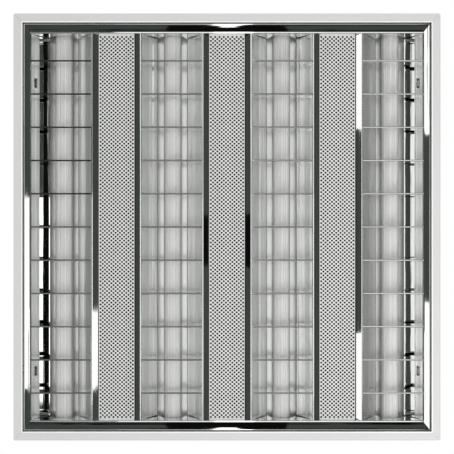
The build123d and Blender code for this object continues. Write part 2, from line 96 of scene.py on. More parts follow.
def makeCoatGroup():
    # orange peel in Height, slow cloudiness in Tone
    group, entry, leave = newGroup("coatGrain", [("Vector", "NodeSocketVector", None)], ["Height", "Tone"])
    source = entry.outputs["Vector"]
    peel = scaledNoise(group, source, (1, 1, 1), 520, 2)
    fine = scaledNoise(group, source, (1, 1, 1), 1900, 1)
    cloud = scaledNoise(group, source, (1, 1, 1), 14, 3)
    group.links.new(weighed(group, peel, fine, 0.75), leave.inputs["Height"])
    group.links.new(weighed(group, cloud, fine, 0.7), leave.inputs["Tone"])
    return group


def makeRollGroup():
    # rolled sheet with its length along Y: fine lines in Streak, slow unevenness in Wave
    group, entry, leave = newGroup("rolledSheet", [("Vector", "NodeSocketVector", None)], ["Streak", "Wave"])
    source = entry.outputs["Vector"]
    line = scaledNoise(group, source, (480, 2.4, 480), 1, 2)
    band = scaledNoise(group, source, (150, 1.2, 150), 1, 2)
    slow = scaledNoise(group, source, (30, 9, 30), 1, 2)
    sharp = group.nodes.new("ShaderNodeMapRange")
    sharp.inputs["From Min"].default_value = 0.38
    sharp.inputs["From Max"].default_value = 0.64
    group.links.new(weighed(group, line, band, 0.7), sharp.inputs["Value"])
    group.links.new(sharp.outputs["Result"], leave.inputs["Streak"])
    group.links.new(weighed(group, slow, band, 0.8), leave.inputs["Wave"])
    return group


coatGroup = makeCoatGroup()
rollGroup = makeRollGroup()


def startMaterial(name, group, turn=0.0):
    # material with one group on object coordinates; turn lays the grain along X when it is a quarter
    material = bpy.data.materials.new(name)
    material.use_nodes = True
    tree = material.node_tree
    place = tree.nodes.new("ShaderNodeTexCoord")
    mapping = tree.nodes.new("ShaderNodeMapping")
    mapping.inputs["Rotation"].default_value = (0, 0, turn)
    effect = tree.nodes.new("ShaderNodeGroup")
    effect.node_tree = group
    tree.links.new(place.outputs["Object"], mapping.inputs["Vector"])
    tree.links.new(mapping.outputs["Vector"], effect.inputs["Vector"])
    return material, tree, tree.nodes["Principled BSDF"], effect


def blendColour(tree, factor, low, high, target):
    mix = tree.nodes.new("ShaderNodeMix")
    mix.data_type = "RGBA"
    colourIn = [s for s in mix.inputs if s.type == "RGBA"]
    colourIn[0].default_value = (*low, 1)
    colourIn[1].default_value = (*high, 1)
    tree.links.new(factor, mix.inputs["Factor"])
    tree.links.new([s for s in mix.outputs if s.type == "RGBA"][0], target)


def blendValue(tree, factor, low, high, target, span=(0.3, 0.7)):
    spread = tree.nodes.new("ShaderNodeMapRange")
    spread.inputs["From Min"].default_value = span[0]
    spread.inputs["From Max"].default_value = span[1]
    spread.inputs["To Min"].default_value = low
    spread.inputs["To Max"].default_value = high
    tree.links.new(factor, spread.inputs["Value"])
    tree.links.new(spread.outputs["Result"], target)


def addBump(tree, shader, *heights):
    # each height comes with its depth in metres, and each bump stands on the one before
    below = None
    for height, distance in heights:
        bump = tree.nodes.new("ShaderNodeBump")
        bump.inputs["Strength"].default_value = 1.0
        bump.inputs["Distance"].default_value = distance
        tree.links.new(height, bump.inputs["Height"])
        if below:
            tree.links.new(below, bump.inputs["Normal"])
        below = bump.outputs["Normal"]
    tree.links.new(below, shader.inputs["Normal"])


def coated(name, low, high, rough, peel, coat=0.0):
    # paint, plastic or rubber: cloudy colour, uneven gloss, orange peel
    material, tree, shader, effect = startMaterial(name, coatGroup)
    blendColour(tree, effect.outputs["Tone"], low, high, shader.inputs["Base Color"])
    blendValue(tree, effect.outputs["Tone"], rough[0], rough[1], shader.inputs["Roughness"])
    addBump(tree, shader, (effect.outputs["Height"], peel))
    shader.inputs["Coat Weight"].default_value = coat
    return material


def rolledMetal(name, low, high, rough, wave, line, turn=0.0, shadeBelow=None, shadeAt=None, shadeTone=0.03):
    # bright metal with rolling lines and slow unevenness; below a height or where marked, the colour is
    # darkened as painted shade
    material, tree, shader, effect = startMaterial(name, rollGroup, turn)
    shader.inputs["Metallic"].default_value = 1.0
    streak, colour = effect.outputs["Streak"], shader.inputs["Base Color"]
    if shadeBelow or shadeAt:
        paintedShade = tree.nodes.new("ShaderNodeMix")
        paintedShade.data_type = "RGBA"
        first, second = [s for s in paintedShade.inputs if s.type == "RGBA"]
        second.default_value = (shadeTone, shadeTone, shadeTone, 1)
        place = tree.nodes.new("ShaderNodeAttribute" if shadeAt else "ShaderNodeTexCoord")
        if shadeAt:
            place.attribute_name = shadeAt
            tree.links.new(place.outputs["Fac"], paintedShade.inputs["Factor"])
        else:
            split = tree.nodes.new("ShaderNodeSeparateXYZ")
            tree.links.new(place.outputs["Object"], split.inputs["Vector"])
            blendValue(tree, split.outputs["Z"], 1.0, 0.0, paintedShade.inputs["Factor"], shadeBelow)
        tree.links.new([s for s in paintedShade.outputs if s.type == "RGBA"][0], colour)
        colour = first
    blendColour(tree, streak, low, high, colour)
    blendValue(tree, streak, rough[0], rough[1], shader.inputs["Roughness"], (0.0, 1.0))
    addBump(tree, shader, (effect.outputs["Wave"], wave), (streak, line))
    return material


def extruded(name, low, high, rough, line):
    # opal plastic drawn through a die: lines along the tube in colour and gloss
    material, tree, shader, effect = startMaterial(name, rollGroup)
    blendColour(tree, effect.outputs["Streak"], low, high, shader.inputs["Base Color"])
    blendValue(tree, effect.outputs["Wave"], rough[0], rough[1], shader.inputs["Roughness"])
    addBump(tree, shader, (effect.outputs["Streak"], line))
    shader.inputs["Subsurface Weight"].default_value = 1.0  # light that enters below spreads round the tube
    shader.inputs["Subsurface Radius"].default_value = (1, 1, 1)
    shader.inputs["Subsurface Scale"].default_value = 0.0027
    return material


def highlightedHem(name, low, high, hem, rough, peel, reach):
    # coated strip with a painted highlight: its hem round the opening is coloured whiter
    material = coated(name, low, high, rough, peel)
    tree = material.node_tree
    colour = tree.nodes["Principled BSDF"].inputs["Base Color"]
    below = colour.links[0].from_socket
    place = tree.nodes.new("ShaderNodeTexCoord")
    size = tree.nodes.new("ShaderNodeVectorMath")
    size.operation = "ABSOLUTE"
    split = tree.nodes.new("ShaderNodeSeparateXYZ")
    outer = tree.nodes.new("ShaderNodeMath")
    outer.operation = "MAXIMUM"
    mix = tree.nodes.new("ShaderNodeMix")
    mix.data_type = "RGBA"
    first, second = [s for s in mix.inputs if s.type == "RGBA"]
    second.default_value = (*hem, 1)
    tree.links.new(place.outputs["Object"], size.inputs[0])
    tree.links.new(size.outputs["Vector"], split.inputs["Vector"])
    tree.links.new(split.outputs["X"], outer.inputs[0])
    tree.links.new(split.outputs["Y"], outer.inputs[1])
    blendValue(tree, outer.outputs["Value"], 1.0, 0.0, mix.inputs["Factor"], reach)
    tree.links.new(below, first)
    tree.links.new([s for s in mix.outputs if s.type == "RGBA"][0], colour)
    return material


quarter = math.pi / 2
mirrorLow, mirrorHigh, mirrorRough = (0.85, 0.865, 0.85), (0.98, 0.985, 0.97), (0.012, 0.045)

# name, darker and lighter colour, roughness span, depth of the orange peel in metres
coats = dict(
    white_enamel=("whiteEnamel", (0.72, 0.725, 0.72), (0.78, 0.785, 0.775), (0.30, 0.42), 3e-5),
    white_perforated_sheet=("perforatedWhite", (0.73, 0.74, 0.73), (0.79, 0.795, 0.785), (0.35, 0.46), 2e-5),
    # the black film behind the panel holes is a backing sheet, black so that the holes show painted shade
    black_film=("blackFilm", (0.008, 0.008, 0.008), (0.014, 0.014, 0.014), (0.55, 0.70), 2e-5),
    cap_plastic=("capPlastic", (0.72, 0.73, 0.72), (0.80, 0.80, 0.79), (0.30, 0.40), 2e-5),
    white_plastic=("holderPlastic", (0.78, 0.78, 0.76), (0.84, 0.84, 0.82), (0.30, 0.38), 2e-5),
    board_laminate=("boardLaminate", (0.70, 0.72, 0.68), (0.78, 0.79, 0.76), (0.40, 0.52), 2e-5),
    black_rubber=("grommetRubber", (0.020, 0.020, 0.021), (0.034, 0.034, 0.035), (0.55, 0.70), 4e-5),
    brown_insulation=("brownInsulation", (0.13, 0.055, 0.025), (0.18, 0.08, 0.04), (0.35, 0.48), 2e-5),
    blue_insulation=("blueInsulation", (0.02, 0.09, 0.36), (0.035, 0.13, 0.44), (0.35, 0.48), 2e-5),
    green_insulation=("greenInsulation", (0.10, 0.34, 0.06), (0.16, 0.42, 0.08), (0.35, 0.48), 2e-5))

# name, darker and lighter colour, roughness span, depth of the waves and of the rolling lines in metres
metals = dict(
    pin_brass=("pinBrass", (0.66, 0.50, 0.24), (0.76, 0.60, 0.32), (0.18, 0.30), 4e-5, 5e-6),
    spring_steel=("springSteel", (0.42, 0.43, 0.44), (0.58, 0.59, 0.60), (0.20, 0.34), 6e-5, 8e-6),
    zinc_plated_steel=("zincSteel", (0.58, 0.60, 0.62), (0.72, 0.73, 0.74), (0.22, 0.38), 8e-5, 8e-6))

finishes = {slot: coated(*values) for slot, values in coats.items()}
finishes.update({slot: rolledMetal(*values) for slot, values in metals.items()})
# the mirror sheet is darkened as painted shade wherever a piece marks it
finishes["mirror_aluminium"] = rolledMetal("mirrorAluminium", mirrorLow, mirrorHigh, mirrorRough, 3e-4, 1e-5,
                                           shadeAt="paintedShade")
finishes["opal_cover"] = extruded("opalCover", (0.80, 0.81, 0.79), (0.985, 0.99, 0.975), (0.05, 0.09), 2e-6)
crossAluminium = rolledMetal("crossAluminium", mirrorLow, mirrorHigh, mirrorRough, 2e-4, 1e-5, quarter)
satinAluminium = rolledMetal("satinAluminium", mirrorLow, mirrorHigh, (0.30, 0.38), 1e-4, 1e-5)
# the ribs on the tubes are coated whiter than the cover as painted highlight lines
ribHighlight = coated("ribHighlight", (0.93, 0.935, 0.92), (0.98, 0.98, 0.97), (0.10, 0.18), 5e-6, 0.5)
# the rim's hem is coloured whiter as a painted highlight line round the opening
rimEnamel = highlightedHem("rimEnamel", (0.65, 0.655, 0.65), (0.71, 0.715, 0.705), (0.93, 0.93, 0.92),
                   (0.30, 0.42), 3e-5, (0.2986, 0.2989))

bladeFoldShade = (0.20, 0.31, 0.44, None)  # brightness of the painted shade on the blades' folds, column by column; none in the last column
bladeBend = (0.00705, 0.0073)  # heights between which a blade's fold passes into its flanks
# each column gets its own copy of the blade metal, with its own painted shade on the folds
bladeFinishes = []
for n, fold in enumerate(bladeFoldShade):
    name = "bladeAluminium%d" % (n + 1)
    bend = bladeBend if fold else None
    bladeFinishes.append(
        rolledMetal(name, mirrorLow, mirrorHigh, mirrorRough, 1e-4, 5e-6, quarter, bend, shadeTone=fold))
print("materials ready:", len(finishes) + len(bladeFinishes) + 4)


# shape helpers: every surface is worked out as whole arrays

def roundedLine(points, radii, steps=6, ease=0.15):
    # straight runs joined by arcs: a corner is cut back by radius / tan(half its inside angle) on both runs
    points = np.asarray(points, float)
    rows = [points[:1]]
    for before, corner, after, radius in zip(points[:-2], points[1:-1], points[2:], radii):
        if radius == 0:
            rows.append(corner[None])
            continue
        back = (before - corner) / np.linalg.norm(before - corner)
        onward = (after - corner) / np.linalg.norm(after - corner)
        half = math.acos(np.clip(back @ onward, -1, 1)) / 2
        cut = radius / math.tan(half)
        middle = (back + onward) / np.linalg.norm(back + onward)
        centre = corner + middle * radius / math.sin(half)
        start = corner + back * cut - centre
        end = corner + onward * cut - centre
        sweep = math.atan2(start[0] * end[1] - start[1] * end[0], start @ end)
        turn = np.linspace(0, sweep, steps + 1)[:, None]
        side = np.array([-start[1], start[0]])
        arc = centre + start * np.cos(turn) + side * np.sin(turn)
        rows += [(corner + back * (cut + ease))[None], arc, (corner + onward * (cut + ease))[None]]
    rows.append(points[-1:])
    return np.concatenate(rows)


def gridFaces(rows, columns, wrapRows=False, wrapColumns=False):
    # quads between neighbouring points of a grid, numbered row by row
    r = np.arange(rows if wrapRows else rows - 1)[:, None]
    c = np.arange(columns if wrapColumns else columns - 1)[None]
    a = r * columns + c
    b = r * columns + (c + 1) % columns
    up = ((r + 1) % rows) * columns
    return np.stack([a, b, up + (c + 1) % columns, up + c], -1)


def weld(points, faces):
    # points closer than a thousandth become one, and corners that fall together leave the face
    keys = np.floor(points * 1000 + 0.37).astype(np.int64)
    unique, first, same = np.unique(keys, axis=0, return_index=True, return_inverse=True)
    same = same.reshape(-1)
    kept = []
    for face in faces:
        corners = list(dict.fromkeys(same[list(face)].tolist()))
        if len(corners) > 2:
            kept.append(corners)
    used = np.unique(np.concatenate([np.array(face) for face in kept]))
    number = np.full(len(unique), -1)
    number[used] = np.arange(len(used))
    return points[first][used], [number[face].tolist() for face in kept]


def newPiece(name, points, faces, body, slot, nodes, material=None, sharp=32, flip=False):
    # welded mesh in place, smooth up to the sharp angle, riding on its body
    points, faces = weld(np.asarray(points, float).reshape(-1, 3), faces)
    if flip:
        faces = [face[::-1] for face in faces]
    mesh = bpy.data.meshes.new(name)
    mesh.from_pydata((points * mm).tolist(), [], faces)
    mesh.validate()
    mesh.shade_smooth()
    mesh.set_sharp_from_angle(angle=math.radians(sharp))
    mesh.materials.append(material or finishes[slot])
    piece = bpy.data.objects.new(name, mesh)
    scene.collection.objects.link(piece)
    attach(piece, body)
    if nodes:
        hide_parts(*nodes)
    return piece


def faceOutward(piece):
    # closed solids only: every face is turned to point out of its solid
    work = bmesh.new()
    work.from_mesh(piece.data)
    bmesh.ops.recalc_face_normals(work, faces=work.faces)
    work.to_mesh(piece.data)
    work.free()


def thicken(piece, thickness, sharp=28):
    # the made surface stays the visible side, the sheet grows behind it, and the new rims are sharp
    solid = piece.modifiers.new("sheet", "SOLIDIFY")
    solid.thickness = thickness * mm
    solid.offset = -1
    solid.use_even_offset = True
    thin = piece.data
    thick = bpy.data.meshes.new_from_object(piece.evaluated_get(bpy.context.evaluated_depsgraph_get()))
    piece.modifiers.clear()
    piece.data = thick
    bpy.data.meshes.remove(thin)
    thick.name = piece.name
    thick.set_sharp_from_angle(angle=math.radians(sharp))


def markPaintedShade(piece, rule):
    # points where the rule holds get painted shade, which the finish shows as darker colour
    place = np.zeros(3 * len(piece.data.vertices))
    piece.data.vertices.foreach_get("co", place)
    paintedShade = rule(*np.abs(place.reshape(-1, 3).T) / mm)
    piece.data.attributes.new("paintedShade", "FLOAT", "POINT").data.foreach_set("value", paintedShade.astype(float))


def soften(piece, width, segments=2, angle=40):
    bevel = piece.modifiers.new("edges", "BEVEL")
    bevel.width = width * mm
    bevel.segments = segments
    bevel.limit_method = "ANGLE"
    bevel.angle_limit = math.radians(angle)
    bevel.harden_normals = True


# rim: four mitred strips with a hem round the opening and a rolled outer edge

rimSet = dict(
    half=310.0, inner=297.0, middle=303.0, corner=2.0, sheet=0.6, hem=1.5, relief=0.25,
    outerRoll=(1.6, 1.0), hemRoll=(1.7, 2.4),  # where the face leaves and meets the level of the edges
    mitreGap=0.12, mitreSteps=(0.3, 0.6, 0.9), stations=20)


def makeRim(s):
    # closed section in (distance from the middle, height), carried along each side up to the mitre
    low, high, face = s["inner"], s["half"], s["relief"]
    seam = (s["middle"], face)
    section = roundedLine(
        [seam, (high - s["outerRoll"][0], face), (high - s["outerRoll"][1], 0), (high, 0),
         (high, s["sheet"]), (low + s["sheet"], s["sheet"]), (low + s["sheet"], s["hem"]),
         (low, s["hem"]), (low, 0), (low + s["hemRoll"][0], 0), (low + s["hemRoll"][1], face), seam],
        [0.5, 0.3, 0.28, 0.28, 0.2, 0.25, 0.25, 0.5, 0.4, 0.5], steps=4, ease=0.04)[:-1]
    r, z = section[:, :1], section[:, 1:]
    middle = high - s["corner"]
    run = np.linspace(-1, 1, s["stations"])[None]
    bend = np.radians([15.0, 30.0, 45.0])[None]
    reach = np.minimum(r, middle)
    rest = np.array([s["mitreSteps"]])
    last = s["mitreSteps"][-1]
    inside = r <= middle
    along = (reach - np.where(inside, last, 0)) * run
    endY = np.where(inside, reach - last + rest, middle + (r - middle) * np.sin(bend))
    endX = np.where(inside, r + 0 * rest, middle + (r - middle) * np.cos(bend))
    gap = s["mitreGap"]
    x = np.concatenate([endX[:, ::-1], r + 0 * run, endX], 1)
    y = np.concatenate([-endY[:, ::-1] + gap, along, endY - gap], 1)
    strip = np.stack([x, y, z + 0 * x], -1)
    rows, columns = x.shape
    faces = gridFaces(rows, columns, wrapRows=True).reshape(-1, 4)
    lids = [list(range(0, rows * columns, columns)),
            list(range(columns - 1, rows * columns, columns))[::-1]]
    allPoints, allFaces = [], []
    for turn in range(4):
        c, q = math.cos(turn * quarter), math.sin(turn * quarter)
        turned = strip.reshape(-1, 3) @ np.array([[c, q, 0], [-q, c, 0], [0, 0, 1]])
        start = turn * rows * columns
        allPoints.append(turned)
        allFaces += (faces + start).tolist() + [[k + start for k in lid] for lid in lids]
    piece = newPiece("rimFrame", np.concatenate(allPoints), allFaces, "housing", "white_enamel",
                     ["rim_frame"], rimEnamel, sharp=50)
    faceOutward(piece)


makeRim(rimSet)
print("rim ready")


# louver: reflectors, end reflectors, cross blades and perforated panels

louverSet = dict(
    columns=(-242.1, -80.7, 80.7, 242.1), fold=44.4, plane=7.0, top=47.0, sheet=0.5,
    stations=25, stationHalf=260.0, lip=(22.0, 38.3), lipSagitta=0.6, lipEdge=1.0, turned=1.4, turnedRadius=0.2,
    shoulder=(34.5, 25.5), sagitta=0.31,
    shoulderRadius=3.4, foldRadius=1.4, bevelRadius=8.5, endRadius=0.8,
    ledge=((1.5, 0.0), (8.6, 5.6), (10.1, 5.99)), ledgeRadius=0.3,  # past the fold, up to the panel
    foldX=286.5, foldY=284.2, edge=295.0, edgeZ=0.8, edgeLip=3.2, edgeRadius=0.5, bow=0.12,
    foot=1.8, footRadius=0.5, wallFoot=6.0, lean=0.06, gap=0.1, endGap=(0.35, 0.05),
    slotY=211.0, slotHalf=7.0, slotZ=(15.3, 21.4), slotClear=3.0)


def arcAt(z, low, high, sagitta):
    # circle through two points, bulging away from the lamp by the sagitta
    low, high = np.array(low), np.array(high)
    chord = high - low
    half = np.linalg.norm(chord) / 2
    radius = (half ** 2 + sagitta ** 2) / (2 * sagitta)
    centre = (low + high) / 2 + np.array([-chord[1], chord[0]]) / (2 * half) * (radius - sagitta)
    return centre[0] + np.sqrt(radius ** 2 - (np.asarray(z, float) - centre[1]) ** 2)


def faceAt(z, s=louverSet):
    # lower concave face, between the fold and the shoulder
    return arcAt(z, (s["fold"], s["plane"]), s["shoulder"], s["sagitta"])


def wallAt(z, s=louverSet):
    # inner face of the end wall, leaning in as it rises from its foot beside the fold
    return s["foldY"] - s["foot"] - s["lean"] * (z - s["plane"])


def reflectorLine(s, tail, tailRadii, turned=0.0):
    # lip, shoulder, concave face and fold, then the tail of this kind of reflector; a turned lip ends level
    heights = np.array([23.3, s["slotZ"][1], 18.4, s["slotZ"][0], 12.5, 10.0])  # rows of the face
    face = np.stack([faceAt(heights, s), heights], 1)
    upper = np.linspace(s["lip"][1], s["shoulder"][1], 9)[1:-1]
    upper = np.concatenate([s["lip"][1] - s["lipEdge"] * np.array([0.96, 1.04]), upper[1:]])
    lip = np.stack([arcAt(upper, s["shoulder"], s["lip"], s["lipSagitta"]), upper], 1)
    points = [s["lip"], *lip, s["shoulder"], *face, (s["fold"], s["plane"]), *tail]
    radii = [0] * len(upper) + [s["shoulderRadius"]] + [0] * len(heights) + tailRadii
    if turned:
        points.insert(0, (s["lip"][0] - turned, s["lip"][1]))
        radii.insert(0, s["turnedRadius"])
    return roundedLine(points, radii)


def makeReflector(n, side, s):
    # the line drawn across the column, carried along Y up to the end walls and the mitres
    outer = (n, side) in ((0, -1), (3, 1))
    bevel = s["edge"] - s["foldX"]
    if outer:
        tail = [(s["fold"] + bevel, s["edgeZ"]), (s["fold"] + bevel, s["edgeZ"] + s["edgeLip"])]
        line = reflectorLine(s, tail, [s["bevelRadius"], s["edgeRadius"]], s["turned"])
    else:
        tail = [(s["fold"] + across, s["plane"] + up) for across, up in s["ledge"]]
        line = reflectorLine(s, tail, [s["foldRadius"], s["ledgeRadius"], s["ledgeRadius"]])
    u, z = line[:, :1], line[:, 1:]
    wallEnd = wallAt(z, s) - s["endGap"][0] - s["endGap"][1] * (z - s["plane"])
    mitre = s["foldY"] + (u - s["fold"] - s["gap"]) * (s["edge"] - s["foldY"]) / bevel
    end = np.where(u > s["fold"], np.maximum(mitre, wallEnd), wallEnd) if outer else wallEnd
    stations = np.linspace(-s["stationHalf"], s["stationHalf"], s["stations"])
    if outer:
        slots = np.array([-1, 1])[:, None] * s["slotY"] + np.array([-1, 1]) * s["slotHalf"]
        stations = stations[np.abs(np.abs(stations) - s["slotY"]) > s["slotHalf"] + s["slotClear"]]
        stations = np.sort(np.concatenate([stations, slots.ravel()]))
    y = np.concatenate([-end, stations[None] + 0 * u, end], 1)
    x = s["columns"][n] + side * u + 0 * y
    points = np.stack([x, y, z + 0 * y], -1)
    faces = gridFaces(*y.shape)
    if outer:
        rowMiddle = (z[:-1] + z[1:]) / 2
        columnMiddle = np.abs((y[:-1, :-1] + y[:-1, 1:]) / 2)
        inSlot = (np.abs(columnMiddle - s["slotY"]) < s["slotHalf"]) & (u[:-1] < s["fold"] + 0.01)
        inSlot &= (rowMiddle > s["slotZ"][0]) & (rowMiddle < s["slotZ"][1])
        faces = faces[~inSlot]
    name = "reflector_%d_%s" % (n + 1, "left" if side < 0 else "right")
    piece = newPiece(name + "_sheet", points, faces.reshape(-1, 4).tolist(), "louver", "mirror_aluminium",
                     [name], sharp=28, flip=side > 0)
    thicken(piece, s["sheet"])
    # the inner reflectors' lips get painted shade along their top edge
    if not outer:
        markPaintedShade(piece, lambda x, y, z: z > s["lip"][1] - s["lipEdge"])


archSet = dict(radius=19.0, centre=38.4, topHalf=22.0, arcSteps=17, collar=3.0)


def makeEndReflector(side, s, a):
    # leaning wall with an arch for each lamp, then the mirror bevel
    # rows run down the section, stations across it
    turn = np.linspace(-quarter, quarter, a["arcSteps"])
    near = np.concatenate([a["radius"] * np.sin(turn), [-a["topHalf"], a["topHalf"], -30, 30, -40, 40]])
    lampSide = np.array(s["columns"])[:, None] + near[None]
    between = np.array([-175, -161.4, -148, -14, 0, 14, 148, 161.4, 175])
    stations = np.sort(np.concatenate([lampSide.ravel(), between]))
    offset = np.abs(stations[:, None] - np.array(s["columns"])[None]).min(1)
    slope = (s["top"] - a["centre"]) / (a["topHalf"] - a["radius"])
    arch = a["centre"] - np.sqrt(np.maximum(a["radius"] ** 2 - offset ** 2, 0))
    wallTop = np.where(offset > a["topHalf"] - 0.01, s["top"],
                       np.where(offset > a["radius"], a["centre"] + slope * (offset - a["radius"]), arch))
    wallTop = np.concatenate([[s["top"]], wallTop, [s["top"]]])
    footZ = s["plane"] + s["wallFoot"]
    start = (wallAt(footZ, s), footZ)
    fold, edge = np.array([s["foldY"], s["plane"]]), np.array([s["edge"], s["edgeZ"]])
    share = np.array([0.35, 0.5, 0.65, 0.8, 0.9])[:, None]
    across = np.array([edge[1] - fold[1], fold[0] - edge[0]]) / np.linalg.norm(edge - fold)
    bowed = across * 4 * s["bow"] * share * (1 - share)  # towards the room
    bevel = fold + (edge - fold) * share + bowed
    lipTop = (s["edge"], s["edgeZ"] + s["edgeLip"])
    low = roundedLine(
        [start, (s["foldY"] - s["foot"], s["plane"]), fold, *bevel, edge, lipTop],
        [s["footRadius"], s["endRadius"]] + [0] * len(bevel) + [s["edgeRadius"]])
    share = np.linspace(0, 1, 7)[:-1, None]
    zWall = wallTop[None] + share * (start[1] - wallTop[None])
    collar = np.minimum(np.abs(wallTop - s["top"]), a["collar"])  # arch edges turned back
    collar = collar * np.array([[1], [0.15]])
    z = np.concatenate([wallTop + 0 * collar, zWall, low[:, 1:] + 0 * wallTop[None]])
    y = np.concatenate([wallAt(wallTop, s) + collar, wallAt(zWall, s), low[:, :1] + 0 * wallTop[None]])
    past = np.maximum(y[:, :1] - s["foldY"], 0)
    mitre = s["foldX"] - s["gap"] + past * (s["edge"] - s["foldX"]) / (s["edge"] - s["foldY"])
    x = np.concatenate([-mitre, stations[None] + 0 * mitre, mitre], 1)
    points = np.stack([x, side * y, z], -1)
    name = "end_reflector_" + ("rear" if side > 0 else "front")
    piece = newPiece(name + "_sheet", points, gridFaces(*x.shape).reshape(-1, 4).tolist(), "louver",
                     "mirror_aluminium", [name], crossAluminium, sharp=28, flip=side < 0)
    thicken(piece, s["sheet"])


bladeSet = dict(
    count=11, pitch=48.43, height=18.0, topHalf=2.7, nose=0.75, noseRadius=0.45, sheet=0.4, sideGap=0.4)


def makeBlades(n, s, b):
    # folded V between the two reflectors: section in (along Y, height), its width follows the concave faces
    top = s["plane"] + b["height"]
    heights = np.linspace(top, s["plane"], 6)[1:-1]
    slope = (b["topHalf"] - b["nose"]) / b["height"]
    leftSide = np.stack([-(b["nose"] + slope * (heights - s["plane"])), heights], 1)
    rightSide = leftSide[::-1] * [-1, 1]
    line = roundedLine(
        [(-b["topHalf"], top), *leftSide, (-b["nose"], s["plane"]),
         (b["nose"], s["plane"]), *rightSide, (b["topHalf"], top)],
        [0] * len(heights) + [b["noseRadius"]] * 2 + [0] * len(heights), steps=4, ease=0.06)
    v, z = line[:, 0], line[:, 1]
    half = faceAt(z) - b["sideGap"]
    across = np.linspace(-1, 1, 9)
    middle = (np.arange(b["count"]) - (b["count"] - 1) / 2) * b["pitch"]
    x = s["columns"][n] + half[:, None] * across[None]
    grid = np.stack(np.broadcast_arrays(x[None], (middle[:, None] + v)[:, :, None], z[None, :, None]), -1)
    rows, columns = x.shape
    one = gridFaces(rows, columns).reshape(-1, 4)
    faces = (one[None] + (np.arange(b["count"]) * rows * columns)[:, None, None]).reshape(-1, 4)
    name = "cross_blades_%d" % (n + 1)
    piece = newPiece(name + "_sheet", grid, faces.tolist(), "louver", "mirror_aluminium", [name],
                     bladeFinishes[n], sharp=28)
    thicken(piece, b["sheet"])


panelSet = dict(
    half=28.2, length=281.8, z=13.5, sheet=0.5, pitch=6.27, step=2.836, hole=3.2, perRow=8, rows=197,
    places=(-161.4, 0.0, 161.4))


def stripBetween(first, second):
    # quads between two lines of points that run side by side
    return np.stack([first[:-1], second[:-1], second[1:], first[1:]], 1)


def makePanel(n, x0, p):
    # staggered holes: each sits in a diamond cell, twelve points on the hole joined to twelve on the cell
    a, b, rows = p["pitch"] / 2, p["step"], p["rows"]
    corners = np.array([(0, -b), (a, 0), (0, b), (-a, 0)])
    share = (np.arange(3) / 3)[None, :, None]
    diamond = (corners[:, None] * (1 - share) + np.roll(corners, -1, 0)[:, None] * share).reshape(-1, 2)
    turn = np.radians(-90 + 30 * np.arange(12))
    hole = p["hole"] / 2 * np.stack([np.cos(turn), np.sin(turn)], 1)
    row = np.arange(rows)
    shift = np.where(row % 2 == 0, -a / 2, a / 2)
    centreX = (np.arange(p["perRow"]) - (p["perRow"] - 1) / 2) * p["pitch"] + shift[:, None]
    centreY = (row - (rows - 1) / 2)[:, None] * b + 0 * centreX
    centre = np.stack([centreX, centreY], -1).reshape(-1, 1, 2)
    cells = np.concatenate([centre + diamond, centre + hole], 1)
    k = np.arange(12)
    ring = np.stack([k, (k + 1) % 12, 12 + (k + 1) % 12, 12 + k], 1)
    faces = (ring[None] + 24 * np.arange(len(cells))[:, None, None]).reshape(-1, 4)
    outer = (p["perRow"] / 2 + 0.25) * p["pitch"]
    fine = np.linspace(0, rows - 1, 3 * (rows - 1) + 1)
    tooth = np.abs((fine + 1) % 2 - 1)  # 0 on even rows, 1 on odd rows, straight between
    height = (fine - (rows - 1) / 2) * b
    leftEdge = np.stack([-outer + a * tooth, height], 1)
    rightEdge = np.stack([outer - a + a * tooth, height], 1)
    leftSide = np.stack([0 * height - p["half"], height], 1)
    rightSide = np.stack([0 * height + p["half"], height], 1)
    quads = [stripBetween(leftEdge, leftSide), stripBetween(rightSide, rightEdge)]
    across = np.arange(6 * p["perRow"] + 1)
    depth = b * (1 - np.abs(across % 6 - 3) / 3)
    for end in (-1, 1):
        line = np.stack([-outer + across * a / 3, end * (depth + (rows - 1) / 2 * b)], 1)
        line = np.concatenate([[(-p["half"], line[0, 1])], line, [(p["half"], line[0, 1])]])
        rim = np.stack([line[:, 0], np.full(len(line), end * p["length"])], 1)
        quads.append(stripBetween(line, rim) if end > 0 else stripBetween(rim, line))
    plain = np.concatenate(quads)[:, ::-1]
    points = np.concatenate([cells.reshape(-1, 2), plain.reshape(-1, 2)])
    plainFaces = np.arange(plain.shape[0] * 4).reshape(-1, 4) + cells.shape[0] * 24
    solid = np.column_stack([points[:, 0] + x0, points[:, 1], np.full(len(points), p["z"])])
    name = "perforated_panel_%d" % (n + 1)
    piece = newPiece(name + "_sheet", solid, faces.tolist() + plainFaces.tolist(), "louver",
                     "white_perforated_sheet", [name], flip=True)
    thicken(piece, p["sheet"])


for n in range(4):
    makeReflector(n, -1, louverSet)
    makeReflector(n, 1, louverSet)
    makeBlades(n, louverSet, bladeSet)
for side in (-1, 1):
    makeEndReflector(side, louverSet, archSet)
print("reflectors and blades ready")
for n, x0 in enumerate(panelSet["places"]):
    makePanel(n, x0, panelSet)
print("perforated panels ready")


# lamps: surfaces of revolution about their own axis

# the ribs stand tube by tube where the painted highlight lines go
ribSet = dict(
    places=(3.4, 3.25, 0.7, -0.3), offsets=(-9.8, -5.9, 0.0, 3.7, 7.6), halves=(0.75, 0.6, 0.9, 0.6, 0.75),
    height=0.3, sunk=0.25, short=1.0)
lampSet = dict(
    radius=13.0, wall=1.0, axisZ=43.5, coverHalf=282.5, end=294.5, plug=6.0, plugGap=0.1, capRound=1.6,
    groove=(1.6, 1.9, 2.5, 2.8), grooveDepth=0.35, segments=56, stations=13)


def revolved(line, x0, z0, segments, close=False):
    # line in (along Y, radius) turned about the lamp's axis; ends on the axis close as poles
    turn = np.linspace(0, 2 * math.pi, segments, endpoint=False)
    y, r = line[:, :1], line[:, 1:]
    points = np.stack([x0 + r * np.cos(turn), y + 0 * turn, z0 + r * np.sin(turn)], -1)
    return points, gridFaces(len(line), segments, wrapRows=close, wrapColumns=True).reshape(-1, 4)


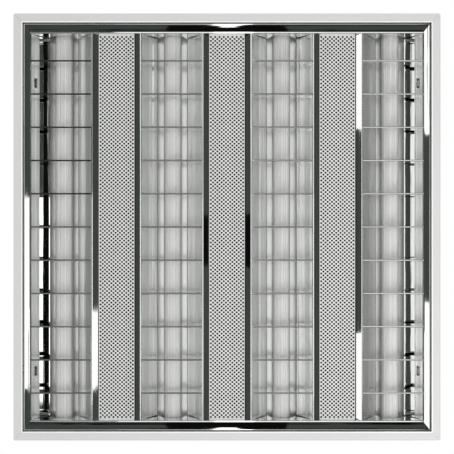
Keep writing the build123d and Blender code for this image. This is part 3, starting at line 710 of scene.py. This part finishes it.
def makeLamp(n, x0, s):
    radius, bore = s["radius"], s["radius"] - s["wall"]
    stations = np.linspace(-s["coverHalf"], s["coverHalf"], s["stations"])
    outside = np.stack([stations, np.full(s["stations"], radius)], 1)
    inside = np.stack([stations[::-1], np.full(s["stations"], bore)], 1)
    points, faces = revolved(np.concatenate([outside, inside]), x0, s["axisZ"], s["segments"], close=True)
    body = "tube_%d" % (n + 1)
    newPiece(body + "_opal", points, faces.tolist(), body, "opal_cover", [body + "_cover"], flip=True)
    edge, plug, floor = s["coverHalf"], bore - s["plugGap"], radius - s["grooveDepth"]
    first, second, third, fourth = [edge + along for along in s["groove"]]
    line = roundedLine(
        [(edge - s["plug"], 0), (edge - s["plug"], plug), (edge, plug), (edge, radius), (first, radius),
         (second, floor), (third, floor), (fourth, radius), (s["end"], radius), (s["end"], 0)],
        [0.5, 0, 0.2, 0.1, 0.1, 0.1, 0.1, s["capRound"]], steps=5, ease=0.03)
    points, faces = revolved(line, x0, s["axisZ"], s["segments"])
    mirrored = points * [1, -1, 1]
    both = np.concatenate([points.reshape(-1, 3), mirrored.reshape(-1, 3)])
    faces = faces.tolist() + (faces[:, ::-1] + points.size // 3).tolist()
    newPiece(body + "_endCaps", both, faces, body, "cap_plastic", [body + "_caps"], flip=True)


def makeRibs(n, x0, s, r):
    # low round ribs along the cover: section in (along the girth, out of the surface), wrapped round the tube
    swell = np.linspace(math.pi, 0, 7)
    reach = s["coverHalf"] - r["short"]
    stations = np.linspace(-reach, reach, s["stations"])
    allPoints, allFaces = [], []
    for offset, half in zip(r["offsets"], r["halves"]):
        girth = np.concatenate([half * np.cos(swell), [half, -half]])
        rise = np.concatenate([r["height"] * np.sin(swell), [-r["sunk"], -r["sunk"]]])
        angle = (r["places"][n] + offset + girth) / s["radius"]
        out = s["radius"] + rise
        x = x0 + out * np.sin(angle)
        z = s["axisZ"] - out * np.cos(angle)
        grid = np.stack(np.broadcast_arrays(x[None], stations[:, None], z[None]), -1)
        rows, columns = grid.shape[:2]
        start = sum(len(p) for p in allPoints)
        ends = [list(range(columns)), list(range((rows - 1) * columns, rows * columns))]
        faces = gridFaces(rows, columns, wrapColumns=True).reshape(-1, 4).tolist() + ends
        allPoints.append(grid.reshape(-1, 3))
        allFaces += [[k + start for k in face] for face in faces]
    body = "tube_%d" % (n + 1)
    points = np.concatenate(allPoints)
    piece = newPiece(body + "_ribs", points, allFaces, body, "opal_cover", [], ribHighlight, sharp=60)
    faceOutward(piece)


for n, x0 in enumerate(louverSet["columns"]):
    makeLamp(n, x0, lampSet)
    makeRibs(n, x0, lampSet, ribSet)
print("lamps ready")


# housing: walls with folded corners, and a back sheet with pressed beads and rolled edges

housingSet = dict(half=308.0, corner=2.5, sheet=0.6, low=0.62, high=82.6, back=83.6, roll=1.6, cornerSteps=8)


def makeWalls(s):
    # plan outline with rounded corners, carried from the rim up to the back
    straight = s["half"] - s["corner"]
    bend = np.linspace(0, quarter, s["cornerSteps"] + 1)
    corner = np.stack([np.cos(bend), np.sin(bend)], 1) * s["corner"] + straight
    run = np.linspace(-straight, straight, 12)[1:-1]
    side = np.concatenate([np.stack([0 * run + s["half"], run], 1), corner])
    loop = np.concatenate([side @ np.array([[math.cos(t), math.sin(t)], [-math.sin(t), math.cos(t)]])
                           for t in (0, quarter, 2 * quarter, 3 * quarter)])
    heights = np.array([s["low"], s["low"] + 0.4, 12, 24, 40, 56, 70, s["high"]])
    points = np.concatenate([np.broadcast_to(loop, (len(heights), *loop.shape)),
                             np.broadcast_to(heights[:, None, None], (len(heights), len(loop), 1))], -1)
    faces = gridFaces(len(heights), len(loop), wrapColumns=True).reshape(-1, 4)
    piece = newPiece("housingWalls", points, faces.tolist(), "housing", "white_enamel", ["housing_walls"])
    thicken(piece, s["sheet"])


backSet = dict(
    beadX=(-161.4, 0.0, 161.4), beadHalf=229.0, beadFlat=4.2, beadWidth=6.0, beadHeight=1.8, ringSteps=24,
    hangers=(200, 200, 3.5, 6.0), rivets=(298, 260, 2.1, 5.0), cable=(80.7, 75.0, 10.5, 14.0),
    clear=0.01)  # holes: x, y, radius, half of the cell


def makeBack(s, b):
    # height over the plan: beads fall from full height at beadFlat to nothing at beadWidth, edges roll down
    flank = np.array([2, 3.6, 4.2, 4.6, 5.1, 5.6, 6, 6.4, 8])  # lines are close where a bead's side curves
    offsets = np.concatenate([-flank[::-1], [0], flank])
    edge = s["half"] - s["roll"] + s["roll"] * np.sin(np.linspace(0, quarter, 7))
    x, y, r, c = b["hangers"]
    holes = [(i * x, j * y, r, c) for i in (-1, 1) for j in (-1, 1)]
    x, y, r, c = b["rivets"]
    holes += [(i * x, j * y, r, c) for i in (-1, 1) for j in (-1, 0, 1)]
    holes.append(b["cable"])
    cellX = [x + k * c for x, y, r, c in holes for k in (-1, 1)]
    cellY = [y + k * c for x, y, r, c in holes for k in (-1, 1)]
    beads = [x + offsets for x in b["beadX"]]
    plain = [-250, -225, -120, -40, 40, 120, 225, 250]
    xs = np.unique(np.round(np.concatenate([*beads, edge, -edge, cellX, plain]), 4))
    beadEnd = b["beadHalf"] + offsets
    plain = np.linspace(-180, 180, 13)
    ys = np.unique(np.round(np.concatenate([beadEnd, -beadEnd, edge, -edge, cellY, plain]), 4))
    for x, y, r, c in holes:  # no line may cross a hole's cell
        xs = xs[~((xs > x - c + b["clear"]) & (xs < x + c - b["clear"]))]
        ys = ys[~((ys > y - c + b["clear"]) & (ys < y + c - b["clear"]))]
    gx, gy = np.meshgrid(xs, ys)
    bead = np.zeros_like(gx)
    for x in b["beadX"]:
        away = np.hypot(gx - x, np.maximum(np.abs(gy) - b["beadHalf"], 0))
        fall = np.clip((b["beadWidth"] - away) / (b["beadWidth"] - b["beadFlat"]), 0, 1)
        bead = np.maximum(bead, b["beadHeight"] * fall * fall * (3 - 2 * fall))
    past = np.clip(np.maximum(np.abs(gx), np.abs(gy)) - (s["half"] - s["roll"]), 0, s["roll"])
    drop = s["roll"] - np.sqrt(np.maximum(s["roll"] ** 2 - past ** 2, 0))
    points = np.stack([gx, gy, s["back"] + bead - drop], -1).reshape(-1, 3)
    columns = len(xs)
    faces = gridFaces(len(ys), columns)
    keep = np.ones(faces.shape[:2], bool)
    extra, fans = [], []
    turn = np.linspace(0, 2 * math.pi, b["ringSteps"], endpoint=False)
    per = b["ringSteps"] // 4
    for x, y, r, c in holes:
        i, j = np.searchsorted(xs, x - c - 0.005), np.searchsorted(ys, y - c - 0.005)
        keep[j, i] = False
        start = len(points) + sum(len(e) for e in extra)
        level = np.full(len(turn), s["back"])
        extra.append(np.stack([x + r * np.cos(turn), y + r * np.sin(turn), level], 1))
        corners = [(j + 1) * columns + i + 1, (j + 1) * columns + i, j * columns + i, j * columns + i + 1]
        for q in range(4):  # a fan at each corner of the cell, and one triangle between fans
            ring = [start + (q * per + k) % len(turn) for k in range(per + 1)]
            fans += [[corners[q], ring[k + 1], ring[k]] for k in range(per)]
            fans.append([corners[q], corners[(q + 1) % 4], ring[per]])
    points = np.concatenate([points, *extra])
    faces = faces[keep].tolist() + fans
    piece = newPiece("housingBack", points, faces, "housing", "white_enamel", ["housing_back"])
    thicken(piece, s["sheet"])


makeWalls(housingSet)
makeBack(housingSet, backSet)
print("housing ready")


# small parts: the CAD shape, merged, smoothed and with its edges broken

smallParts = dict(  # slot, body, width of the broken edge
    gear_tray=("mirror_aluminium", "housing", 0.15),
    gear_tray_screws=("zinc_plated_steel", "housing", 0.15),
    cable_grommet=("black_rubber", "housing", 0.6),
    terminal_block=("white_plastic", "housing", 0.5),
    terminal_screws=("zinc_plated_steel", "housing", 0.15),
    earth_terminal=("zinc_plated_steel", "housing", 0.2),
    live_wires=("brown_insulation", "housing", 0),
    neutral_wires=("blue_insulation", "housing", 0),
    earth_wire=("green_insulation", "housing", 0),
    wire_clips=("white_plastic", "housing", 0.4),
    hinge_hooks=("spring_steel", "housing", 0.2),
    catch_guides=("zinc_plated_steel", "housing", 0.25),
    wall_rivets=("zinc_plated_steel", "housing", 0.35),
    catch_front=("spring_steel", "catch_front", 0.2),
    catch_rear=("spring_steel", "catch_rear", 0.2),
    # backing sheets behind the perforated panels; their black paints shade into the holes
    panel_backings=("black_film", "louver", 0))
for n in range(1, 5):
    smallParts["lampholders_%d" % n] = ("white_plastic", "housing", 0.6)
    smallParts["tube_%d_pins" % n] = ("pin_brass", "tube_%d" % n, 0)
    smallParts["tube_%d_boards" % n] = ("board_laminate", "tube_%d" % n, 0.15)
    smallParts["tube_%d_rotors" % n] = ("white_plastic", "tube_%d" % n, 0.2)


def makeSmallPart(node, slot, body, edge):
    # merged copy of the node with flat faces joined up, so that the bevel runs along true edges
    work = bmesh.new()
    work.from_mesh(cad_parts[node].data)
    bmesh.ops.remove_doubles(work, verts=work.verts, dist=1e-6)
    bmesh.ops.dissolve_limit(work, angle_limit=math.radians(0.5), verts=work.verts, edges=work.edges)
    mesh = bpy.data.meshes.new(node + "_part")
    work.to_mesh(mesh)
    work.free()
    mesh.shade_smooth()
    mesh.set_sharp_from_angle(angle=math.radians(35))
    mesh.materials.clear()
    mesh.materials.append(satinAluminium if node == "gear_tray" else finishes[slot])
    piece = bpy.data.objects.new(node + "_part", mesh)
    scene.collection.objects.link(piece)
    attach(piece, body)
    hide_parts(node)
    if edge:
        soften(piece, edge)


for node, (slot, body, edge) in smallParts.items():
    makeSmallPart(node, slot, body, edge)
print("small parts ready:", len(smallParts))


# studio: pale floor, soft light, dark walls and white panels that only reflections see

def addStage(name, points, material, onlyReflected):
    mesh = bpy.data.meshes.new(name)
    mesh.from_pydata(points, [], [(0, 1, 2, 3)])
    mesh.materials.append(material)
    card = bpy.data.objects.new(name, mesh)
    scene.collection.objects.link(card)
    if onlyReflected:
        card.visible_camera = False
        card.visible_diffuse = False
        card.visible_shadow = False
        card.visible_transmission = False


def glowing(name, colour):
    material = bpy.data.materials.new(name)
    material.use_nodes = True
    tree = material.node_tree
    glow = tree.nodes.new("ShaderNodeEmission")
    glow.inputs["Color"].default_value = (*colour, 1)
    path = tree.nodes.new("ShaderNodeLightPath")
    soft = tree.nodes.new("ShaderNodeEmission")
    soft.inputs["Strength"].default_value = 0.8
    mix = tree.nodes.new("ShaderNodeMixShader")
    bounced = tree.nodes.new("ShaderNodeMath")
    bounced.operation = "MINIMUM"
    bounced.inputs[1].default_value = 1.0
    tree.links.new(path.outputs["Diffuse Depth"], bounced.inputs[0])
    tree.links.new(bounced.outputs["Value"], mix.inputs["Fac"])
    tree.links.new(glow.outputs["Emission"], mix.inputs[1])
    tree.links.new(soft.outputs["Emission"], mix.inputs[2])
    tree.links.new(mix.outputs["Shader"], tree.nodes["Material Output"].inputs["Surface"])
    return material


def sideCard(name, x, yRange, zRange, material):
    (y0, y1), (z0, z1) = yRange, zRange
    addStage(name, [(x, y0, z0), (x, y1, z0), (x, y1, z1), (x, y0, z1)], material, True)


def endCard(name, y, xRange, zRange, material):
    (x0, x1), (z0, z1) = xRange, zRange
    addStage(name, [(x0, y, z0), (x1, y, z0), (x1, y, z1), (x0, y, z1)], material, True)


def floorCard(name, xRange, yRange, z, material):
    (x0, x1), (y0, y1) = xRange, yRange
    addStage(name, [(x0, y0, z), (x1, y0, z), (x1, y1, z), (x0, y1, z)], material, True)


def seenDirectly(tree):
    # 1 for rays from the camera, a mirror or glass, so that the background is white there
    path = tree.nodes.new("ShaderNodeLightPath")
    seen = path.outputs["Is Camera Ray"]
    for kind in ("Is Glossy Ray", "Is Transmission Ray"):
        either = tree.nodes.new("ShaderNodeMath")
        either.operation = "MAXIMUM"
        tree.links.new(seen, either.inputs[0])
        tree.links.new(path.outputs[kind], either.inputs[1])
        seen = either.outputs["Value"]
    return seen


studioSet = dict(
    floorZ=-3.6, floorHalf=30.0, wall=3.0, wallLow=-3.55, wallHigh=-0.12, cardGap=0.05,
    endWindow=((-0.17, -3.5), (0.15, -3.5), (0.04, -2.8), (-0.03, -2.8)))


def makeStudio(s):
    charcoal = glowing("charcoalWall", (0.050, 0.056, 0.053))
    black = glowing("blackCard", (0.004, 0.004, 0.004))
    grey = glowing("greyCard", (0.12, 0.122, 0.12))
    white = glowing("whiteCard", (1.25, 1.25, 1.25))
    bright = glowing("brightCard", (1.6, 1.6, 1.6))
    w, near, closer = s["wall"], s["wall"] - s["cardGap"], s["wall"] - 2 * s["cardGap"]
    height, floorZ = (s["wallLow"], s["wallHigh"]), s["floorZ"] + s["cardGap"]
    for k in (-1, 1):
        sideCard("sideWall%d" % k, k * w, (-w, w), height, charcoal)
        endCard("endWall%d" % k, k * w, (-w, w), height, charcoal)
        sideCard("sideBlack%d" % k, k * near, (-0.05, 0.16), (-0.95, -0.62), black)
        endCard("endGrey%d" % k, k * near, (-w, w), (-3.55, -3.12), grey)
        floorCard("endFloorGrey%d" % k, (-w, w), (k * 1.2, k * w), floorZ, grey)
        endCard("endLine%d" % k, k * near, (-w, w), (-3.12, -3.0), black)
        endCard("endUpper%d" % k, k * near, (-w, w), (-2.5, -2.1), black)
        endCard("endDark%d" % k, k * near, (-0.30, 0.30), (-3.55, -2.1), black)
        blob = [(x, k * closer, z) for x, z in s["endWindow"]]
        addStage("endWhite%d" % k, blob, white, True)
    sideCard("rightWhiteLow", near, (-0.14, 0.73), (-1.75, -1.32), white)
    sideCard("rightWhiteHigh", near, (0.36, 0.69), (-1.32, -0.95), white)
    sideCard("leftWhiteA", -near, (-1.6, -0.42), (-1.75, -0.92), white)
    sideCard("leftWhiteB", -near, (0.34, 1.6), (-1.75, -1.4), white)
    sideCard("leftWhiteC", -near, (0.45, 1.6), (-1.4, -0.92), white)
    floorCard("leftFloorBlack", (-2.7, -1.1), (-w, w), floorZ, black)
    floorCard("leftFloorWhite", (-0.95, -0.50), (-0.14, 0.8), floorZ, bright)
    floorCard("leftFloorDarkA", (-0.95, -0.50), (-w, -0.14), floorZ, charcoal)
    floorCard("leftFloorDarkB", (-0.95, -0.50), (0.8, w), floorZ, charcoal)
    floorCard("lampLine", (-0.04, 0.08), (-1.2, 1.2), -1.8, glowing("lampLine", (2.2, 2.2, 2.2)))
    floorCard("rightFloorFar", (1.1, 2.7), (-w, w), floorZ, charcoal)
    floorCard("rightFloorNear", (0.884, 1.0), (-w, w), floorZ, charcoal)
    floor = bpy.data.materials.new("paleFloor")
    floor.use_nodes = True
    tree = floor.node_tree
    shader = tree.nodes["Principled BSDF"]
    shader.inputs["Base Color"].default_value = (0.86, 0.86, 0.855, 1)
    shader.inputs["Roughness"].default_value = 0.8
    glow = tree.nodes.new("ShaderNodeEmission")
    mix = tree.nodes.new("ShaderNodeMixShader")
    tree.links.new(seenDirectly(tree), mix.inputs["Fac"])
    tree.links.new(shader.outputs["BSDF"], mix.inputs[1])
    tree.links.new(glow.outputs["Emission"], mix.inputs[2])
    tree.links.new(mix.outputs["Shader"], tree.nodes["Material Output"].inputs["Surface"])
    h, z = s["floorHalf"], s["floorZ"]
    addStage("floor", [(-h, -h, z), (h, -h, z), (h, h, z), (-h, h, z)], floor, False)


def makeWorld(ambient):
    world = bpy.data.worlds.new("studioWorld")
    scene.world = world
    world.use_nodes = True
    tree = world.node_tree
    soft = tree.nodes["Background"]
    soft.inputs["Color"].default_value = (1, 1, 1, 1)
    soft.inputs["Strength"].default_value = ambient
    white = tree.nodes.new("ShaderNodeBackground")
    white.inputs["Color"].default_value = (1, 1, 1, 1)
    white.inputs["Strength"].default_value = 1.0
    mix = tree.nodes.new("ShaderNodeMixShader")
    tree.links.new(seenDirectly(tree), mix.inputs["Fac"])
    tree.links.new(soft.outputs["Background"], mix.inputs[1])
    tree.links.new(white.outputs["Background"], mix.inputs[2])
    tree.links.new(mix.outputs["Shader"], tree.nodes["World Output"].inputs["Surface"])


def addLight(name, place, size, power):
    data = bpy.data.lights.new(name, "AREA")
    data.shape = "SQUARE"
    data.size = size
    data.energy = power
    lamp = bpy.data.objects.new(name, data)
    lamp.location = place
    direction = -np.array(place)
    lamp.rotation_euler = (math.atan2(math.hypot(direction[0], direction[1]), -direction[2]), 0,
                           math.atan2(-direction[0], direction[1]))
    lamp.visible_glossy = False
    lamp.visible_camera = False
    scene.collection.objects.link(lamp)


lightSet = dict(ambient=1.0, keyPlace=(0.95, 0.5, -0.75), keySize=0.6, keyPower=4.5)
makeStudio(studioSet)
makeWorld(lightSet["ambient"])
addLight("keyLight", lightSet["keyPlace"], lightSet["keySize"], lightSet["keyPower"])
print("studio ready")
